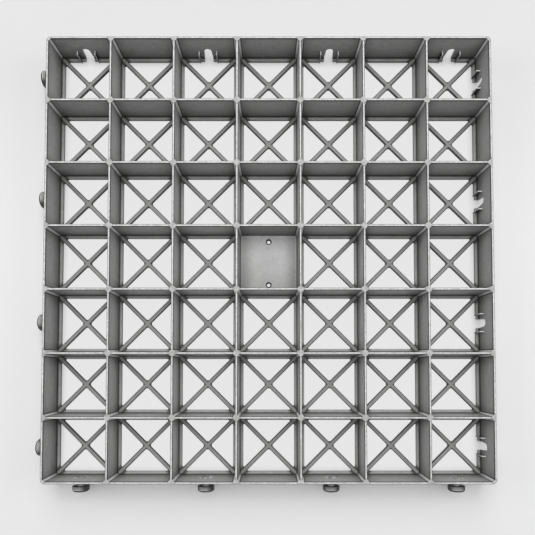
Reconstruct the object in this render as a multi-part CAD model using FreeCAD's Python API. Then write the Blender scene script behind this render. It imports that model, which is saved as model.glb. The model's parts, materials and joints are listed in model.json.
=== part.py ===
# Grass paver grid: a square plastic lattice moulded in one piece, lying with its cells open upward.
# Millimetres, +Z up, origin at the middle of the grid on its underside.
import FreeCAD, Part
import math
import os

V = FreeCAD.Vector

# Grid
SIDE = 500.0
HEIGHT = 40.0
CELLS = 7
WALL_TOP = 2.6
DRAFT_ANGLE = 1.3
CELL_CHAMFER = 2.1
TOP_EDGE_BREAK = 0.4
OUTER_CORNER_RADIUS = 4.5

# Floor of each cell: a rim along the walls and two crossed bars
FLOOR_THICKNESS = 3.5
RIM_WIDTH = 3.7
BAR_WIDTH = 4.8
WINDOW_APEX_RADIUS = 1.8
WINDOW_TIP_RADIUS = 0.8

# Anchor holes in the closed floor of the middle cell
ANCHOR_HOLE_DIAMETER = 4.0
ANCHOR_SINK_DIAMETER = 7.0
ANCHOR_SINK_DEPTH = 1.5
ANCHOR_SPACING = 51.0

# Connectors, on every second cell of a side: studs on -X and -Y, slots on +X and +Y
CONNECTOR_STEP = 2
STUD_AXIS_HEIGHT = 16.5
NECK_DIAMETER = 7.4
HEAD_DIAMETER = 18.8
HEAD_THICKNESS = 6.0
HEAD_CHAMFER = 1.5
SLOT_CLEARANCE = 0.4
SLOT_MOUTH_FLARE = 1.2
LEDGE_WIDTH = 2.6
LEDGE_PLAY = 0.4
RIB_THICKNESS = 1.3
RIB_TOP_HEIGHT = 17.2
RIB_PROUD = 0.7
RIB_CLEARANCE = 0.2

# How far a cutting shape runs past the face it opens
OVERCUT = 1.0

pitch = (SIDE - WALL_TOP) / CELLS
draft_slope = math.tan(math.radians(DRAFT_ANGLE))
wall_base = WALL_TOP + HEIGHT * draft_slope
outer_face = SIDE / 2
inner_face = outer_face - wall_base
rim_edge = inner_face - RIM_WIDTH
neck_length = wall_base + LEDGE_WIDTH + LEDGE_PLAY
rib_gap = HEAD_DIAMETER + 2 * RIB_CLEARANCE


def cell_centre(index):
    """Place of a row or column of cells along its axis."""
    return (index - (CELLS - 1) / 2) * pitch


def opening_half(z):
    """Half the width of a cell at height z: the walls thicken downward by the draft."""
    return (pitch - WALL_TOP) / 2 - (HEIGHT - z) * draft_slope


def corner_arcs(corners, radii):
    """Start, middle and end of the tangent arc in each corner of a flat outline, one radius a corner."""
    arcs = []
    for index, (corner, radius) in enumerate(zip(corners, radii)):
        back = (corners[index - 1] - corner).normalize()
        ahead = (corners[(index + 1) % len(corners)] - corner).normalize()
        half_angle = back.getAngle(ahead) / 2
        tangent = radius / math.tan(half_angle)
        depth = radius / math.sin(half_angle) - radius
        middle = corner + (back + ahead).normalize() * depth
        arcs.append((corner + back * tangent, middle, corner + ahead * tangent))
    return arcs


def outer_outline():
    """The grid's square outline with its rounded corners."""
    corners = [V(sx * outer_face, sy * outer_face, 0) for sx, sy in ((-1, -1), (1, -1), (1, 1), (-1, 1))]
    arcs = corner_arcs(corners, [OUTER_CORNER_RADIUS] * len(corners))
    edges = []
    for index, (start, middle, end) in enumerate(arcs):
        following = arcs[(index + 1) % len(arcs)][0]
        edges.append(Part.Arc(start, middle, end).toShape())
        edges.append(Part.LineSegment(end, following).toShape())
    return Part.Wire(edges)


def blunt_polygon(corners, radii):
    """Closed outline with each corner cut flat between the ends of its arc."""
    points = []
    for start, _, end in corner_arcs(corners, radii):
        points += [start, end]
    return Part.makePolygon(points + points[:1])


def window_outlines(centre_x, centre_y):
    """The four triangular windows that the rim and the crossed bars leave in one cell."""
    half = opening_half(0) - RIM_WIDTH
    apex = BAR_WIDTH / math.sqrt(2)
    corners = [V(0, apex, 0), V(half - apex, half, 0), V(apex - half, half, 0)]
    window = blunt_polygon(corners, [WINDOW_APEX_RADIUS, WINDOW_TIP_RADIUS, WINDOW_TIP_RADIUS])
    outlines = []
    for quarter in range(4):
        turned = window.copy()
        turned.rotate(V(0, 0, 0), V(0, 0, 1), 90 * quarter)
        turned.translate(V(centre_x, centre_y, 0))
        outlines.append(turned)
    return outlines


def floor_layer():
    """Rims, crossed bars and the closed middle plate, as one flat layer."""
    outlines = [outer_outline()]
    middle = CELLS // 2
    for column in range(CELLS):
        for row in range(CELLS):
            if (column, row) != (middle, middle):
                outlines += window_outlines(cell_centre(column), cell_centre(row))
    return Part.makeFace(outlines, "Part::FaceMakerBullseye").extrude(V(0, 0, FLOOR_THICKNESS))


def chamfered_square(half, z):
    """Corner points of a square opening whose corners are cut at 45 degrees."""
    short = half - CELL_CHAMFER
    signs = ((1, 1), (-1, 1), (-1, -1), (1, -1))
    points = []
    for index, (sx, sy) in enumerate(signs):
        pair = [V(sx * half, sy * short, z), V(sx * short, sy * half, z)]
        points += pair if index % 2 == 0 else pair[::-1]
    return points


def cell_pocket():
    """The space of one cell above its floor, drafted, with a broken edge at the top."""
    edge_foot = HEIGHT - TOP_EDGE_BREAK
    edge_half = opening_half(edge_foot)
    levels = [
        chamfered_square(opening_half(FLOOR_THICKNESS), FLOOR_THICKNESS),
        chamfered_square(edge_half, edge_foot),
        chamfered_square(edge_half + TOP_EDGE_BREAK + OVERCUT, HEIGHT + OVERCUT),
    ]
    faces = []
    for ring in (levels[0], levels[-1]):
        faces.append(Part.Face(Part.makePolygon(ring + ring[:1])))
    for low, high in zip(levels, levels[1:]):
        for index in range(len(low)):
            after = (index + 1) % len(low)
            quad = [low[index], low[after], high[after], high[index], low[index]]
            faces.append(Part.Face(Part.makePolygon(quad)))
    return Part.makeSolid(Part.makeShell(faces))


def lattice():
    """Outer wall and cross walls with broken top edges, standing on the floor layer."""
    block = Part.Face(outer_outline()).extrude(V(0, 0, HEIGHT - FLOOR_THICKNESS))
    block.translate(V(0, 0, FLOOR_THICKNESS))
    top_edges = [edge for edge in block.Edges if edge.BoundBox.ZMin > HEIGHT - TOP_EDGE_BREAK]
    block = block.makeChamfer(TOP_EDGE_BREAK, top_edges)
    pocket = cell_pocket()
    pockets = []
    for column in range(CELLS):
        for row in range(CELLS):
            pockets.append(pocket.translated(V(cell_centre(column), cell_centre(row), 0)))
    return block.cut(pockets)


def anchor_hole():
    """Countersunk hole for a ground spike, on the Z axis through the floor."""
    bore_radius = ANCHOR_HOLE_DIAMETER / 2
    sink_radius = ANCHOR_SINK_DIAMETER / 2
    bore = Part.makeCylinder(bore_radius, FLOOR_THICKNESS + 2 * OVERCUT, V(0, 0, -OVERCUT))
    sink_foot = V(0, 0, FLOOR_THICKNESS - ANCHOR_SINK_DEPTH)
    sink = Part.makeCone(bore_radius, sink_radius, ANCHOR_SINK_DEPTH, sink_foot)
    return bore.fuse(sink)


def stud():
    """Mushroom stud on the -X wall, at the height of its axis: a neck and a chamfered head."""
    root = -outer_face + wall_base / 2
    head_start = -outer_face - neck_length
    head_end = head_start - HEAD_THICKNESS
    neck_radius = NECK_DIAMETER / 2
    head_radius = HEAD_DIAMETER / 2
    profile = [
        V(root, 0, 0),
        V(root, neck_radius, 0),
        V(head_start, neck_radius, 0),
        V(head_start, head_radius, 0),
        V(head_end + HEAD_CHAMFER, head_radius, 0),
        V(head_end, head_radius - HEAD_CHAMFER, 0),
        V(head_end, 0, 0),
        V(root, 0, 0),
    ]
    turned = Part.Face(Part.makePolygon(profile)).revolve(V(0, 0, 0), V(1, 0, 0), 360)
    turned.translate(V(0, 0, STUD_AXIS_HEIGHT))
    return turned


def slot_ribs():
    """Two upright ribs on the inner side of the +X wall, between which a neighbour's stud head sits."""
    root = outer_face - WALL_TOP / 2
    tip = rim_edge - RIB_PROUD
    ribs = []
    for low_side in (-rib_gap / 2 - RIB_THICKNESS, rib_gap / 2):
        ribs.append(Part.makeBox(root - tip, RIB_THICKNESS, RIB_TOP_HEIGHT, V(tip, low_side, 0)))
    return ribs


def slot_cut():
    """U slot through the +X wall and its rim, open below and flared at its mouth."""
    radius = NECK_DIAMETER / 2 + SLOT_CLEARANCE
    mouth = radius + SLOT_MOUTH_FLARE
    start = rim_edge - OVERCUT
    left_foot = V(start, -mouth, -OVERCUT)
    left_mouth = V(start, -mouth, 0)
    left_spring = V(start, -radius, STUD_AXIS_HEIGHT)
    crown = V(start, 0, STUD_AXIS_HEIGHT + radius)
    right_spring = V(start, radius, STUD_AXIS_HEIGHT)
    right_mouth = V(start, mouth, 0)
    right_foot = V(start, mouth, -OVERCUT)
    edges = [
        Part.LineSegment(left_foot, left_mouth).toShape(),
        Part.LineSegment(left_mouth, left_spring).toShape(),
        Part.Arc(left_spring, crown, right_spring).toShape(),
        Part.LineSegment(right_spring, right_mouth).toShape(),
        Part.LineSegment(right_mouth, right_foot).toShape(),
        Part.LineSegment(right_foot, left_foot).toShape(),
    ]
    return Part.Face(Part.Wire(edges)).extrude(V(outer_face + OVERCUT - start, 0, 0))


def ledge_cut():
    """Sets the rim back to a narrow ledge between the ribs, so that a stud head passes it."""
    start = rim_edge - OVERCUT
    length = inner_face - LEDGE_WIDTH - start
    return Part.makeBox(length, rib_gap, FLOOR_THICKNESS + OVERCUT, V(start, -rib_gap / 2, -OVERCUT))


def on_both_sides(shape):
    """Copies of a connector shape on every second cell of its own side and of the side a quarter turn on."""
    copies = []
    for index in range(0, CELLS, CONNECTOR_STEP):
        copy = shape.translated(V(0, cell_centre(index), 0))
        turned = copy.copy()
        turned.rotate(V(0, 0, 0), V(0, 0, 1), 90)
        copies += [copy, turned]
    return copies


def paver_grid():
    """The whole moulding as one solid."""
    added = [floor_layer()] + on_both_sides(stud())
    for rib in slot_ribs():
        added += on_both_sides(rib)
    body = lattice().fuse(added).removeSplitter()
    removed = on_both_sides(slot_cut()) + on_both_sides(ledge_cut())
    middle = cell_centre(CELLS // 2)
    for side in (-1, 1):
        removed.append(anchor_hole().translated(V(middle, middle + side * ANCHOR_SPACING / 2, 0)))
    return body.cut(removed).removeSplitter()


os.makedirs("parts", exist_ok=True)
grid = paver_grid()
print("solids", len(grid.Solids), "valid", grid.isValid(), "volume cm3", round(grid.Volume / 1000, 1))
grid.Solids[0].exportStep("parts/paver_grid.step")
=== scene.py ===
"""Grass paver grid in satin grey plastic, lying open side up on a pale studio floor. Metres, +Z up."""
import json
import math
from types import SimpleNamespace

import bmesh
import bpy
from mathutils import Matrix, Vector

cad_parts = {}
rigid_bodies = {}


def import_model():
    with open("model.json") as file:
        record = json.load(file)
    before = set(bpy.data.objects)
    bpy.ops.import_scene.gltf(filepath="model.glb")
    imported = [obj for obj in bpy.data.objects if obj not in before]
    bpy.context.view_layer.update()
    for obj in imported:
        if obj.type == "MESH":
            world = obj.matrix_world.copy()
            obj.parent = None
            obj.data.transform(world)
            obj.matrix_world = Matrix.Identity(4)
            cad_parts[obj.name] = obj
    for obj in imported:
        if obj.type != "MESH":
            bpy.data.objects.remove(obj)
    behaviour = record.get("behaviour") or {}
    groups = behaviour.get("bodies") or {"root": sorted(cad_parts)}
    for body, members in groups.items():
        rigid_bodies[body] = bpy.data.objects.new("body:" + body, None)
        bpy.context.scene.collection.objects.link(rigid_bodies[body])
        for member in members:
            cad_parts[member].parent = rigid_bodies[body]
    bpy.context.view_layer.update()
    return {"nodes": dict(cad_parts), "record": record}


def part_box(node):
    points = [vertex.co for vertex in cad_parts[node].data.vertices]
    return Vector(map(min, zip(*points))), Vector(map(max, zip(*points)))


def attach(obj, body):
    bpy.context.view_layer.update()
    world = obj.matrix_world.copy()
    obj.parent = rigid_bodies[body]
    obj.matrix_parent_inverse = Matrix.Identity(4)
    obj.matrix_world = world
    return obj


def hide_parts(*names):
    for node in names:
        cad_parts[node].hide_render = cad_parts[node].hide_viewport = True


for start_object in list(bpy.data.objects):
    bpy.data.objects.remove(start_object)
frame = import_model()

MM = 0.001
NODE = "paver_grid"
SLOT = "paver_plastic"

# Levels and places of the moulding, read from the frame
node_low, node_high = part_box(NODE)
mounts = {row["name"]: row["pos_m"] for row in frame["record"]["mounts"]}
UNDERSIDE_Z = node_low.z
FLOOR_Z = 2 * mounts["anchor_holes"][2]
STUD_Z = mounts["stud_front_1"][2]
WALL_TOP_Z = node_high.z
OUTER_FACE = node_high.x
STUD_END = -node_low.x
PITCH = (mounts["stud_front_2"][0] - mounts["stud_front_1"][0]) / 2

# Sizes of a cell near its floor: its inner rim edge and its walls from its middle, and its cut corners
RIM_START = 29.6 * MM
CELL_HALF = 33.4 * MM
CORNER_CUT = 2.1 * MM

# Faces nearer to the middle of the grid than this are not on the outer side of its outer wall
INNER_REACH = OUTER_FACE - 1 * MM

# Parts of a stud, by their distance from the outer wall
NECK_REACH = 5 * MM
HEAD_BACK_REACH = 7 * MM
HEAD_LIP_REACH = 9.9 * MM
HEAD_RIM_REACH = 10.5 * MM
HEAD_SIDE_REACH = 11 * MM

# Welding of the solid's mesh and rounding of its edges
WELD_DISTANCE = 0.001 * MM
FLAT_ANGLE = math.radians(0.5)
SHARP_ANGLE = math.radians(30)
LEVEL_TOLERANCE = 0.05 * MM
TOP_BREAK = 0.45 * MM
BAR_ROUNDING = 0.7 * MM
TOP_ROUNDING = 0.12 * MM
UNDER_ROUNDING = 0.4 * MM
FINE_ROUNDING = 0.25 * MM
ROUNDING_STEPS = 2

# Limits on a face's normal that tell level, upright and diagonal faces apart
LEVEL_SLOPE = 0.9
UPRIGHT_SLOPE = 0.005
CORNER_SLOPE = 0.4

# Tone of each kind of face, as a share of the plastic's grey; most are painted light or painted shade, as
# noted at each
FACE_TONES = {
    "wall": 1.07,
    # painted highlight on the cut corner faces
    "corner": 2.0,
    # painted highlight on the wall tops
    "top": 1.17,
    # painted shade on the broken top edges
    "top_break": 0.15,
    # painted highlight on the broken edges where walls cross
    "crossing_break": 1.7,
    # painted shade that darkens the crossed bars of the open cells
    "open_floor": 0.77,
    # painted light on the middle plate
    "plate": 1.47,
    # painted shade in the countersunk holes
    "countersink": 0.15,
    # painted shade on the undersides
    "underside": 0.75,
    # painted highlight on the rib edges
    "rib_edge": 2.4,
    # painted shade on the rib flanks
    "rib_flank": 0.3,
    "neck": 1.0,
    # painted shade on the back of each stud's head
    "head_back": 0.1,
    # painted shade on the edge of each stud's head
    "head_edge": 0.15,
    "head_end": 0.85,
}

# Side of a stud's head: painted light where it faces about this way, painted shade elsewhere
HEAD_PAINTED_LIGHT_TONE = 0.68
HEAD_PAINTED_SHADE_TONE = 0.06
HEAD_PAINTED_LIGHT_SIDE = Vector((-0.2, 0.25, 0.95))
HEAD_PAINTED_SHADE_LIMIT = 0.6
HEAD_PAINTED_LIGHT_LIMIT = 0.9

# From here on a span is a range of distance, height, steepness or noise,
# and its tones are the factors at the two ends of that range

# Walls: painted shade towards their foot, in the middle cell, in creases at their foot and beside the
# corner faces, near the corners and under the top edge
FOOT_SPAN = (FLOOR_Z, 28 * MM)
FOOT_TONES = (0.56, 1)
MIDDLE_CELL_TONE = 0.72
CREASE_TONES = (0.2, 1)
FOOT_CREASE_SPAN = (FLOOR_Z, FLOOR_Z + 4 * MM)
CORNER_CREASE_PLACE = CORNER_CUT + 0.4 * MM
CORNER_CREASE_SPAN = (0.3 * MM, 1.1 * MM)
CORNER_SHADE_SPAN = (CORNER_CUT, 14 * MM)
CORNER_SHADE_TONES = (0.75, 1)
TOP_OUTLINE_SPAN = (WALL_TOP_Z - 4 * MM, WALL_TOP_Z - TOP_BREAK)
TOP_OUTLINE_TONES = (1, 0.45)

# Wall tops: a painted highlight line along their middle with painted shade at its sides, and random specks
# and grain
TOP_LINE_SPAN = (0.4 * MM, 1.1 * MM)
TOP_LINE_TONES = (1.5, 0.3)
TOP_SPECK_SPAN = (0.35, 0.6)
TOP_SPECK_TONES = (0.9, 1.05)
TOP_GRAIN_SPAN = (0.35, 0.65)
TOP_GRAIN_TONES = (0.92, 1.08)
CROSSING_SIZE = 5.6 * MM

# Rims and crossed bars of the open cells: paler bar middles with painted shade at their edges and sides,
# painted shade along the walls and on the rims beside the bars
RIM_CREASE_SPAN = (CELL_HALF - 1.6 * MM, CELL_HALF - 0.5 * MM)
RIM_CREASE_TONES = (1, 0.2)
BAR_SPAN = (1.2 * MM, 3.3 * MM)
BAR_TONES = (1.1, 0.2)
BAR_SIDE_SPAN = (0.05, 0.5)
BAR_SIDE_TONES = (1, 0.2)
RIM_TONE = 1.13
RIM_SPAN = (4 * MM, 10 * MM)
RIM_TONES = (0.2, RIM_TONE / FACE_TONES["open_floor"])

# Middle plate: painted light towards its back, painted shade along its sides and in its crease, and a
# painted highlight line around it
PLATE_BACK_SPAN = (-32 * MM, 26 * MM)
PLATE_BACK_TONES = (0.76, 1.36)
PLATE_SIDE_SPAN = (12 * MM, 31 * MM)
PLATE_SIDE_TONES = (1, 0.68)
PLATE_LINE_PLACE = CELL_HALF - 1.9 * MM
PLATE_LINE_SPAN = (0.3 * MM, 0.7 * MM)
PLATE_LINE_TONES = (1.25, 1)
PLATE_CREASE_SPAN = (CELL_HALF - 1.2 * MM, CELL_HALF - 0.4 * MM)
PLATE_CREASE_TONES = (1, 0.4)

# Studs: a painted highlight line around each head, and painted shade on the rim before its end face
HEAD_LIP_PLACE = OUTER_FACE + HEAD_LIP_REACH
HEAD_LIP_SPAN = (0.2 * MM, 0.6 * MM)
HEAD_LIP_TONES = (2.0, 1)
HEAD_RIM_SPAN = (OUTER_FACE + HEAD_RIM_REACH - 0.2 * MM, OUTER_FACE + HEAD_RIM_REACH + 0.2 * MM)
HEAD_RIM_TONES = (1, 0.2)

# Scuffs on the inner face of the front wall, behind its studs
SCUFF_ZONE_SPAN = (6.5 * MM, 11 * MM)
SCUFF_ZONE_DEPTH = 6 * MM
SCUFF_SIZE = 1.8 * MM
SCUFF_STRETCH = (1.5, 1.5, 4)
SCUFF_SPAN = (0.42, 0.58)
SCUFF_TONES = (0.6, 1.9)

# Mottling, streaks and surface of the plastic
NOISE_SPAN = (0.3, 0.7)
CLOUD_SIZE = 16 * MM
CLOUD_TONES = (0.92, 1.08)
SPECK_SIZE = 3.2 * MM
SPECK_TONES = (0.95, 1.05)
GRAIN_SIZE = 0.9 * MM
GRAIN_TONES = (0.93, 1.07)
STREAK_SIZE = 1.6 * MM
STREAK_STRETCH = (12, 12, 1)
STREAK_SPAN = (0.35, 0.65)
STREAK_TONES = (0.93, 1.05)
NOISE_DETAIL = 3
ROUGHNESS = (0.42, 0.58)
PIT_STRENGTH = 0.35
PIT_DEPTH = 0.08 * MM
WAVE_STRENGTH = 0.4
WAVE_DEPTH = 0.3 * MM

# Colour of the plastic, which turns slightly warm where painted shade and grime make it dark
GREY = 0.36
BRIGHTEST_TONE = 2.4
SHADE_AND_GRIME_TONE = 0.3
SHADE_AND_GRIME_COLOUR = (0.0965, 0.094, 0.09, 1)

# Image and camera, in pixels of the square image where a name says so
IMAGE_PX = 535
FOCAL_PX = 525.0
AXIS_RIGHT_PX = 2.4
AXIS_DOWN_PX = 82.7
CAMERA_PLACE = (1.4 * MM, -123.3 * MM, 617.9 * MM)
CAMERA_TILT = math.radians(1.968)
SENSOR_WIDTH_MM = 36.0
CLIP_START = 10 * MM

# Studio floor and backdrop: glow is the share of the backdrop's own light in the floor that is seen,
# and bounce is the floor's grey for the light that it throws back at the grid
BACKDROP_GREY = 0.806
BACKDROP_COLOUR = (BACKDROP_GREY, BACKDROP_GREY, BACKDROP_GREY, 1)
WORLD_STRENGTH = 0.24
FLOOR_DROP = 0.2 * MM
FLOOR_SIZE = 40.0
GRID_EDGE_SPAN = (OUTER_FACE - 15 * MM, OUTER_FACE)
BOUNCE_GREYS = (0.1, 0.8)
GLOW_BENEATH = 0.96
GLOW_AROUND = 0.1
BACKDROP_SPAN = (290 * MM, 750 * MM)
# The seen floor is painted darker towards the back: painted shade that evens out the key lamp's brighter
# light there
FLOOR_SHADE_SPAN = (0, 290 * MM)
FLOOR_PAINTED_SHADE_GREYS = (0.8, 0.71)

# Place and side of each softbox in metres, and its power in watts
SOFTBOXES = {
    "key": ((0, 2.0, 2.0), 1.9, 33),
    "overhead": ((0, 0.25, 2.0), 1.6, 18.5),
    "left": ((-1.4, 0.15, 0.9), 1.0, 6.5),
    "right": ((1.4, 0.15, 0.9), 1.0, 6.9),
    "front": ((0, -1.6, 0.6), 1.2, 3),
}


def edge_rounding(edge):
    """How far this edge is rounded, in metres: 0 in inner corners, at blunt edges and at anchor holes."""
    if edge.calc_face_angle_signed() < SHARP_ANGLE:
        return 0.0
    low = min(vert.co.z for vert in edge.verts)
    high = max(vert.co.z for vert in edge.verts)
    if low > WALL_TOP_Z - TOP_BREAK - LEVEL_TOLERANCE:
        return TOP_ROUNDING
    place = edge.verts[0].co
    if max(abs(place.x), abs(place.y)) < RIM_START and high < FLOOR_Z + LEVEL_TOLERANCE:
        return 0.0
    if abs(low - FLOOR_Z) < LEVEL_TOLERANCE and abs(high - FLOOR_Z) < LEVEL_TOLERANCE:
        return BAR_ROUNDING
    if high < UNDERSIDE_Z + LEVEL_TOLERANCE:
        return UNDER_ROUNDING
    return FINE_ROUNDING


def face_kind(face):
    """What a face of the moulding is: a name in FACE_TONES, or head_side."""
    normal = face.normal
    centre = face.calc_center_median()
    reach = max(abs(centre.x), abs(centre.y))
    diagonal = min(abs(normal.x), abs(normal.y)) > CORNER_SLOPE
    if reach > OUTER_FACE + LEVEL_TOLERANCE:
        return stud_face_kind(reach - OUTER_FACE, normal)
    if centre.z > WALL_TOP_Z - TOP_BREAK - LEVEL_TOLERANCE:
        if diagonal:
            return "crossing_break"
        return "top" if normal.z > LEVEL_SLOPE else "top_break"
    if normal.z < -LEVEL_SLOPE:
        return "underside"
    if centre.z < FLOOR_Z + LEVEL_TOLERANCE:
        return floor_face_kind(reach, centre.z)
    if normal.z > LEVEL_SLOPE:
        return "rib_edge"
    if abs(normal.z) < UPRIGHT_SLOPE and reach < INNER_REACH:
        inward = -normal.x if abs(centre.x) > abs(centre.y) else -normal.y
        return "rib_edge" if inward > LEVEL_SLOPE else "rib_flank"
    return "corner" if diagonal else "wall"


def floor_face_kind(reach, height):
    """Kind of a face of the cell floors: open floor, the middle plate, or a countersunk hole in it."""
    if reach > PITCH / 2:
        return "open_floor"
    return "plate" if height > FLOOR_Z - LEVEL_TOLERANCE else "countersink"


def stud_face_kind(reach, normal):
    """Kind of a stud's face at this distance from the outer wall."""
    if reach < NECK_REACH:
        return "neck"
    if reach < HEAD_BACK_REACH:
        return "head_back"
    if reach < HEAD_SIDE_REACH:
        return "head_side"
    return "head_end" if max(abs(normal.x), abs(normal.y)) > LEVEL_SLOPE else "head_edge"


def head_side_painted_light(normal):
    """Painted light and shade on the side of a stud's head, by the way it faces."""
    turned = (normal.dot(HEAD_PAINTED_LIGHT_SIDE) - HEAD_PAINTED_SHADE_LIMIT) / (HEAD_PAINTED_LIGHT_LIMIT - HEAD_PAINTED_SHADE_LIMIT)
    return HEAD_PAINTED_SHADE_TONE + (HEAD_PAINTED_LIGHT_TONE - HEAD_PAINTED_SHADE_TONE) * min(max(turned, 0), 1)


def skin_mesh():
    """The solid's own faces as a welded mesh that holds each edge's rounding and each face's tone."""
    skin = bmesh.new()
    skin.from_mesh(frame["nodes"][NODE].data)
    bmesh.ops.remove_doubles(skin, verts=skin.verts, dist=WELD_DISTANCE)
    bmesh.ops.dissolve_limit(skin, angle_limit=FLAT_ANGLE, verts=skin.verts, edges=skin.edges)
    weights = skin.edges.layers.float.new("bevel_weight_edge")
    tones = skin.faces.layers.float.new("tone")
    floors = skin.faces.layers.float.new("cell_floor")
    for edge in skin.edges:
        edge[weights] = edge_rounding(edge) / BAR_ROUNDING
        edge.smooth = edge.calc_face_angle() < SHARP_ANGLE
    for face in skin.faces:
        kind = face_kind(face)
        face[tones] = head_side_painted_light(face.normal) if kind == "head_side" else FACE_TONES[kind]
        face[floors] = kind == "open_floor"
        face.smooth = True
    mesh = bpy.data.meshes.new("moulded_grid")
    skin.to_mesh(mesh)
    skin.free()
    return mesh


def moulded_grid():
    """The moulding's visible skin with rounded edges, which stands for the solid."""
    piece = bpy.data.objects.new("moulded_grid", skin_mesh())
    bpy.context.scene.collection.objects.link(piece)
    bevel = piece.modifiers.new("rounded_edges", "BEVEL")
    bevel.limit_method = "WEIGHT"
    bevel.width = BAR_ROUNDING
    bevel.segments = ROUNDING_STEPS
    bevel.use_clamp_overlap = False
    normals = piece.modifiers.new("flat_face_normals", "WEIGHTED_NORMAL")
    normals.keep_sharp = True
    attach(piece, "root")
    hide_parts(NODE)
    return piece


def node(tree, kind, inputs=None, **settings):
    """Adds a shader node; an input is given a constant or another node's output."""
    made = tree.nodes.new(kind)
    for name, value in settings.items():
        setattr(made, name, value)
    for socket, value in (inputs or {}).items():
        if isinstance(value, bpy.types.NodeSocket):
            tree.links.new(value, made.inputs[socket])
        else:
            made.inputs[socket].default_value = value
    return made


def maths(tree, operation, *values):
    """One step of arithmetic on outputs and constants."""
    return node(tree, "ShaderNodeMath", dict(enumerate(values)), operation=operation).outputs[0]


def product(tree, *values):
    """All values multiplied together."""
    total = values[0]
    for value in values[1:]:
        total = maths(tree, "MULTIPLY", total, value)
    return total


def gap(tree, first, second):
    """How far two values are apart."""
    return maths(tree, "ABSOLUTE", maths(tree, "SUBTRACT", first, second))


def square_reach(tree, x, y):
    """The larger of the two distances from the middle along the axes."""
    return maths(tree, "MAXIMUM", maths(tree, "ABSOLUTE", x), maths(tree, "ABSOLUTE", y))


def remap(tree, value, span, results):
    """Carries a value from a span to a range of results, smoothly and held at both ends."""
    low, high = span
    at_low, at_high = results
    inputs = {"Value": value, "From Min": low, "From Max": high, "To Min": at_low, "To Max": at_high}
    return node(tree, "ShaderNodeMapRange", inputs, interpolation_type="SMOOTHSTEP").outputs[0]


def blend(tree, share, first, second):
    """The first value where the share is 0, the second where it is 1."""
    return node(tree, "ShaderNodeMix", {0: share, 2: first, 3: second}, data_type="FLOAT").outputs[0]


def where(tree, share, factor):
    """The factor where the share is 1, and no change where it is 0."""
    return blend(tree, share, 1, factor)


def attribute(tree, name):
    """A value that the mesh holds for each face."""
    return node(tree, "ShaderNodeAttribute", attribute_name=name).outputs["Fac"]


def noise(tree, point, size, stretch=(1, 1, 1)):
    """Noise from 0 to 1 with grains of about this size, stretched along the axes."""
    scale = [1 / (size * axis) for axis in stretch]
    scaled = node(tree, "ShaderNodeMapping", {"Vector": point, "Scale": scale}).outputs[0]
    inputs = {"Vector": scaled, "Scale": 1, "Detail": NOISE_DETAIL}
    return node(tree, "ShaderNodeTexNoise", inputs).outputs[0]


def surface_place(tree):
    """Where a shaded point lies on the grid and in its own cell, and how steep the surface is there."""
    at = SimpleNamespace()
    at.point = node(tree, "ShaderNodeTexCoord").outputs["Object"]
    at.x, at.y, at.z = node(tree, "ShaderNodeSeparateXYZ", {0: at.point}).outputs
    normal = node(tree, "ShaderNodeNewGeometry").outputs["Normal"]
    upward = node(tree, "ShaderNodeSeparateXYZ", {0: normal}).outputs[2]
    at.steep = maths(tree, "SUBTRACT", 1, maths(tree, "ABSOLUTE", upward))
    at.reach = square_reach(tree, at.x, at.y)
    at.inside = maths(tree, "LESS_THAN", at.reach, INNER_REACH)
    at.above_floor = maths(tree, "GREATER_THAN", at.z, FLOOR_Z + LEVEL_TOLERANCE)
    in_cell_x = maths(tree, "ABSOLUTE", maths(tree, "WRAP", at.x, PITCH / 2, -PITCH / 2))
    in_cell_y = maths(tree, "ABSOLUTE", maths(tree, "WRAP", at.y, PITCH / 2, -PITCH / 2))
    at.from_middle = maths(tree, "MAXIMUM", in_cell_x, in_cell_y)
    at.from_diagonal = gap(tree, in_cell_x, in_cell_y)
    at.towards_corner = maths(tree, "ADD", in_cell_x, in_cell_y)
    return at


def surface_noise(tree, point):
    """The noises that the plastic is made of."""
    return SimpleNamespace(
        clouds=noise(tree, point, CLOUD_SIZE),
        specks=noise(tree, point, SPECK_SIZE),
        grain=noise(tree, point, GRAIN_SIZE),
        streaks=noise(tree, point, STREAK_SIZE, STREAK_STRETCH),
        scuffs=noise(tree, point, SCUFF_SIZE, SCUFF_STRETCH),
    )


def mottling(tree, at, noises):
    """Uneven grey everywhere, and level streaks on upright faces."""
    return product(
        tree,
        remap(tree, noises.clouds, NOISE_SPAN, CLOUD_TONES),
        remap(tree, noises.specks, NOISE_SPAN, SPECK_TONES),
        remap(tree, noises.grain, NOISE_SPAN, GRAIN_TONES),
        where(tree, at.steep, remap(tree, noises.streaks, STREAK_SPAN, STREAK_TONES)),
    )


def wall_creases(tree, at):
    """Painted shade: dark lines at the foot of the walls, beside the corner faces and under the top edge,
    and darker walls near the corners.
    """
    foot = remap(tree, at.z, FOOT_CREASE_SPAN, CREASE_TONES)
    beside_corner = gap(tree, at.from_diagonal, CORNER_CREASE_PLACE)
    line = remap(tree, beside_corner, CORNER_CREASE_SPAN, CREASE_TONES)
    outline = remap(tree, at.z, TOP_OUTLINE_SPAN, TOP_OUTLINE_TONES)
    shade = remap(tree, at.from_diagonal, CORNER_SHADE_SPAN, CORNER_SHADE_TONES)
    in_corner = maths(tree, "LESS_THAN", at.from_diagonal, CORNER_CUT)
    return product(tree, foot, line, outline, blend(tree, in_corner, shade, 1))


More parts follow.
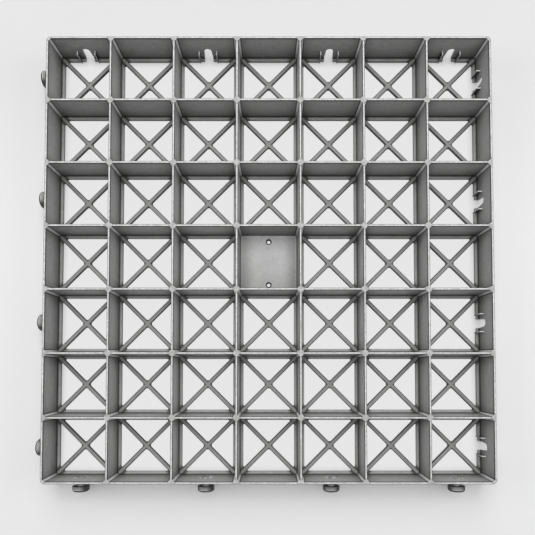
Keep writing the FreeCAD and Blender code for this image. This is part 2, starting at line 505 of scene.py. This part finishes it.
def wall_tones(tree, at):
    """Painted shade: upright faces that darken towards their foot, dark creases, and darker walls in the
    middle cell.
    """
    foot = where(tree, at.steep, remap(tree, at.z, FOOT_SPAN, FOOT_TONES))
    on_wall = product(tree, at.steep, at.above_floor, at.inside)
    creases = where(tree, on_wall, wall_creases(tree, at))
    near_middle = maths(tree, "LESS_THAN", at.reach, PITCH / 2 - TOP_BREAK)
    middle_cell = where(tree, product(tree, on_wall, near_middle), MIDDLE_CELL_TONE)
    return product(tree, foot, creases, middle_cell)


def top_tones(tree, at, noises):
    """Wall tops with a painted highlight line along their middle and painted shade at its sides, which
    stops where walls cross, with random specks and grain.
    """
    from_wall = maths(tree, "SUBTRACT", PITCH / 2, at.from_middle)
    line = remap(tree, from_wall, TOP_LINE_SPAN, TOP_LINE_TONES)
    at_crossing = maths(tree, "GREATER_THAN", at.towards_corner, PITCH - CROSSING_SIZE)
    highlight_and_specks = product(
        tree,
        remap(tree, noises.specks, TOP_SPECK_SPAN, TOP_SPECK_TONES),
        remap(tree, noises.grain, TOP_GRAIN_SPAN, TOP_GRAIN_TONES),
        blend(tree, at_crossing, line, 1),
    )
    on_top = maths(tree, "GREATER_THAN", at.z, WALL_TOP_Z - 2 * TOP_BREAK)
    return where(tree, on_top, highlight_and_specks)


def floor_tones(tree, at):
    """Paler rims with a painted shade line along the wall, and bars with paler middles whose painted shade
    edges run on to the corners.
    """
    bar = remap(tree, at.from_diagonal, BAR_SPAN, BAR_TONES)
    bar_side = remap(tree, at.steep, BAR_SIDE_SPAN, BAR_SIDE_TONES)
    beside_bar = remap(tree, at.from_diagonal, RIM_SPAN, RIM_TONES)
    crease = remap(tree, at.from_middle, RIM_CREASE_SPAN, RIM_CREASE_TONES)
    rim = product(tree, crease, maths(tree, "MAXIMUM", bar, beside_bar))
    on_rim = maths(tree, "GREATER_THAN", at.from_middle, RIM_START)
    tones = blend(tree, on_rim, product(tree, bar, bar_side), rim)
    return where(tree, attribute(tree, "cell_floor"), tones)


def plate_tones(tree, at):
    """The middle plate: painted light towards its back, painted shade along its sides and in its crease,
    with a thin painted highlight line around it.
    """
    back = remap(tree, at.y, PLATE_BACK_SPAN, PLATE_BACK_TONES)
    sides = remap(tree, maths(tree, "ABSOLUTE", at.x), PLATE_SIDE_SPAN, PLATE_SIDE_TONES)
    line = remap(tree, gap(tree, at.reach, PLATE_LINE_PLACE), PLATE_LINE_SPAN, PLATE_LINE_TONES)
    crease = remap(tree, at.reach, PLATE_CREASE_SPAN, PLATE_CREASE_TONES)
    below_walls = maths(tree, "SUBTRACT", 1, at.above_floor)
    on_plate = product(tree, below_walls, maths(tree, "LESS_THAN", at.reach, CELL_HALF))
    return where(tree, on_plate, product(tree, back, sides, line, crease))


def stud_tones(tree, at):
    """A painted highlight line around the head of each stud, and painted shade on the rim before its end
    face.
    """
    lip = remap(tree, gap(tree, at.reach, HEAD_LIP_PLACE), HEAD_LIP_SPAN, HEAD_LIP_TONES)
    rim = remap(tree, at.reach, HEAD_RIM_SPAN, HEAD_RIM_TONES)
    on_end = maths(tree, "GREATER_THAN", at.reach, STUD_END - LEVEL_TOLERANCE)
    return product(tree, lip, blend(tree, on_end, rim, 1))


def scuff_tones(tree, at, noises):
    """Scuffs on the inner face of the front wall right behind each stud, which fade out around it."""
    from_stud = maths(tree, "WRAP", maths(tree, "SUBTRACT", at.x, PITCH), PITCH, -PITCH)
    above_stud = maths(tree, "SUBTRACT", at.z, STUD_Z)
    offset = node(tree, "ShaderNodeCombineXYZ", {0: from_stud, 2: above_stud}).outputs[0]
    radius = node(tree, "ShaderNodeVectorMath", {0: offset}, operation="LENGTH").outputs["Value"]
    disc = remap(tree, radius, SCUFF_ZONE_SPAN, (1, 0))
    on_front_wall = maths(tree, "LESS_THAN", at.y, SCUFF_ZONE_DEPTH - OUTER_FACE)
    zone = product(tree, at.inside, disc, on_front_wall)
    return where(tree, zone, remap(tree, noises.scuffs, SCUFF_SPAN, SCUFF_TONES))


def plastic_colour(tree, tone):
    """The plastic's grey at this tone, through a warm dark colour for painted shade and grime, towards
    black.
    """
    ramp = node(tree, "ShaderNodeValToRGB", {0: maths(tree, "DIVIDE", tone, BRIGHTEST_TONE)})
    brightest = GREY * BRIGHTEST_TONE
    ramp.color_ramp.elements[0].color = (0, 0, 0, 1)
    ramp.color_ramp.elements[1].color = (brightest, brightest, brightest, 1)
    ramp.color_ramp.elements.new(SHADE_AND_GRIME_TONE / BRIGHTEST_TONE).color = SHADE_AND_GRIME_COLOUR
    return ramp.outputs[0]


def surface_relief(tree, noises):
    """Normals of a surface with fine pits and shallow waves."""
    pits = {"Strength": PIT_STRENGTH, "Distance": PIT_DEPTH, "Height": noises.grain}
    pitted = node(tree, "ShaderNodeBump", pits).outputs[0]
    waves = {"Strength": WAVE_STRENGTH, "Distance": WAVE_DEPTH, "Height": noises.specks, "Normal": pitted}
    return node(tree, "ShaderNodeBump", waves).outputs[0]


def plastic():
    """Satin grey plastic: mottled, streaked on its walls, specked on top and scuffed behind the front
    studs, with painted light and shade on its faces, wall tops, creases, plate and studs.
    """
    material = bpy.data.materials.new(SLOT)
    material.use_nodes = True
    tree = material.node_tree
    at = surface_place(tree)
    noises = surface_noise(tree, at.point)
    tone = product(
        tree,
        attribute(tree, "tone"),
        mottling(tree, at, noises),
        wall_tones(tree, at),
        top_tones(tree, at, noises),
        floor_tones(tree, at),
        plate_tones(tree, at),
        stud_tones(tree, at),
        scuff_tones(tree, at, noises),
    )
    shader = tree.nodes["Principled BSDF"]
    tree.links.new(plastic_colour(tree, tone), shader.inputs["Base Color"])
    tree.links.new(remap(tree, noises.clouds, NOISE_SPAN, ROUGHNESS), shader.inputs["Roughness"])
    tree.links.new(surface_relief(tree, noises), shader.inputs["Normal"])
    return material


def seen_rays(tree):
    """1 for rays that show a surface to the camera, directly or in the plastic, and 0 for others."""
    path = node(tree, "ShaderNodeLightPath").outputs
    mirrored = maths(tree, "MAXIMUM", path["Is Glossy Ray"], path["Is Transmission Ray"])
    return maths(tree, "MAXIMUM", path["Is Camera Ray"], mirrored)


def floor_material():
    """Matte floor that looks pale, with painted shade towards the back that evens out the key lamp,
    scatters little light beneath the grid, and glows there and far away.
    """
    material = bpy.data.materials.new("studio_floor")
    material.use_nodes = True
    tree = material.node_tree
    tree.nodes.clear()
    seen = seen_rays(tree)
    place = node(tree, "ShaderNodeNewGeometry").outputs["Position"]
    x, y, _ = node(tree, "ShaderNodeSeparateXYZ", {0: place}).outputs
    reach = square_reach(tree, x, y)
    bounce = remap(tree, reach, GRID_EDGE_SPAN, BOUNCE_GREYS)
    seen_grey = remap(tree, y, FLOOR_SHADE_SPAN, FLOOR_PAINTED_SHADE_GREYS)
    matte = node(tree, "ShaderNodeBsdfDiffuse", {"Color": blend(tree, seen, bounce, seen_grey)})
    glow = node(tree, "ShaderNodeEmission", {"Color": BACKDROP_COLOUR})
    beneath = remap(tree, reach, GRID_EDGE_SPAN, (GLOW_BENEATH, GLOW_AROUND))
    beyond = remap(tree, reach, BACKDROP_SPAN, (GLOW_AROUND, 1))
    share = product(tree, seen, maths(tree, "MAXIMUM", beneath, beyond))
    mix = node(tree, "ShaderNodeMixShader", {0: share, 1: matte.outputs[0], 2: glow.outputs[0]})
    node(tree, "ShaderNodeOutputMaterial", {"Surface": mix.outputs[0]})
    return material


def studio_floor():
    """Large pale floor that keeps the soft shadow around the grid."""
    bpy.ops.mesh.primitive_plane_add(size=FLOOR_SIZE, location=(0, 0, UNDERSIDE_Z - FLOOR_DROP))
    floor = bpy.context.object
    floor.name = "studio_floor"
    floor.data.materials.append(floor_material())


def studio_world():
    """Even pale surroundings that light the grid softly."""
    world = bpy.data.worlds.new("studio")
    world.use_nodes = True
    tree = world.node_tree
    back = tree.nodes["Background"]
    back.inputs["Color"].default_value = BACKDROP_COLOUR
    tree.links.new(blend(tree, seen_rays(tree), WORLD_STRENGTH, 1), back.inputs["Strength"])
    bpy.context.scene.world = world


def softbox(name, place, side, watts):
    """Square area lamp that faces the middle of the grid."""
    lamp = bpy.data.lights.new(name, "AREA")
    lamp.shape = "SQUARE"
    lamp.size = side
    lamp.energy = watts
    body = bpy.data.objects.new(name, lamp)
    body.location = place
    body.rotation_euler = (-body.location).to_track_quat("-Z", "Y").to_euler()
    body.visible_camera = False
    bpy.context.scene.collection.objects.link(body)


def studio_camera():
    """Camera that looks down on the grid, with its place and angle fitted to the photograph."""
    lens = bpy.data.cameras.new("camera")
    lens.sensor_width = SENSOR_WIDTH_MM
    lens.lens = FOCAL_PX / IMAGE_PX * SENSOR_WIDTH_MM
    lens.shift_x = -AXIS_RIGHT_PX / IMAGE_PX
    lens.shift_y = AXIS_DOWN_PX / IMAGE_PX
    lens.clip_start = CLIP_START
    camera = bpy.data.objects.new("camera", lens)
    camera.location = CAMERA_PLACE
    camera.rotation_euler = (CAMERA_TILT, 0, 0)
    bpy.context.scene.collection.objects.link(camera)
    bpy.context.scene.camera = camera


grid = moulded_grid()
grid.data.materials.append(plastic())
studio_floor()
studio_world()
for lamp_name, (lamp_place, lamp_side, lamp_watts) in SOFTBOXES.items():
    softbox(lamp_name, lamp_place, lamp_side, lamp_watts)
studio_camera()
bpy.context.scene.view_settings.view_transform = "Standard"
